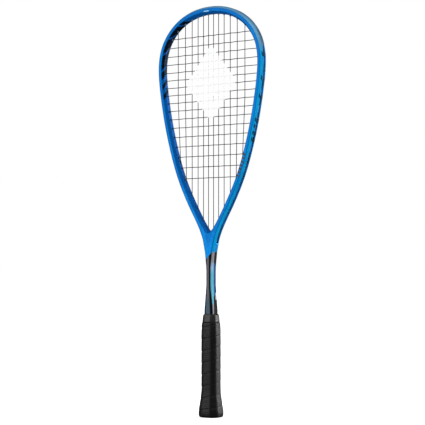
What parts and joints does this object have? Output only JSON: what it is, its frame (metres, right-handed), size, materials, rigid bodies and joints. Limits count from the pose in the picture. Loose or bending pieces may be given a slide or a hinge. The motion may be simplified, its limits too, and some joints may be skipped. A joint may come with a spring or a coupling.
{
  "type": "squash racket",
  "caption": "Strung squash racket with a hollow composite hoop, open V throat, slim shaft and wrapped cushion grip.",
  "frame": {"origin": "centre of the butt cap's end face, on the racket's long axis", "axes": "+Z from the butt to the tip of the hoop, X across the string bed, and the front of the string bed faces -Y"},
  "size_m": [0.2074, 0.0352, 0.685],
  "materials": {
    "painted_composite": "satin metallic paint over carbon composite",
    "bumper_plastic": "smooth moulded nylon",
    "grommet_plastic": "moulded nylon",
    "string": "multifilament with a thin coating",
    "handle_foam": "moulded structural foam",
    "cap_plastic": "fine moulded texture",
    "staple_steel": "plain wire",
    "backing_tape": "thin adhesive cloth tape",
    "grip_cushion": "matte polyurethane wrap",
    "finishing_tape": "stretch vinyl tape",
    "collar_rubber": "smooth moulded rubber"
  },
  "bodies": {
    "racket": {"frame": "painted_composite", "bumper_guard": "bumper_plastic", "side_grommet_strip_left": "grommet_plastic", "side_grommet_strip_right": "grommet_plastic", "throat_grommet_strip_left": "grommet_plastic", "throat_grommet_strip_right": "grommet_plastic", "main_string": "string", "cross_string": "string", "handle_pallet_left": "handle_foam", "handle_pallet_right": "handle_foam", "tail_plug": "handle_foam", "butt_cap": "cap_plastic", "butt_cap_staples": "staple_steel", "grip_backing_tape": "backing_tape", "grip": "grip_cushion", "finishing_tape": "finishing_tape"},
    "collar": {"grip_collar": "collar_rubber"}
  },
  "joints": [
    {"name": "collar_slide", "type": "slide", "parent": "racket", "child": "collar", "axis": [0, 0, 1], "range_m": [0, 0.07]}
  ]
}
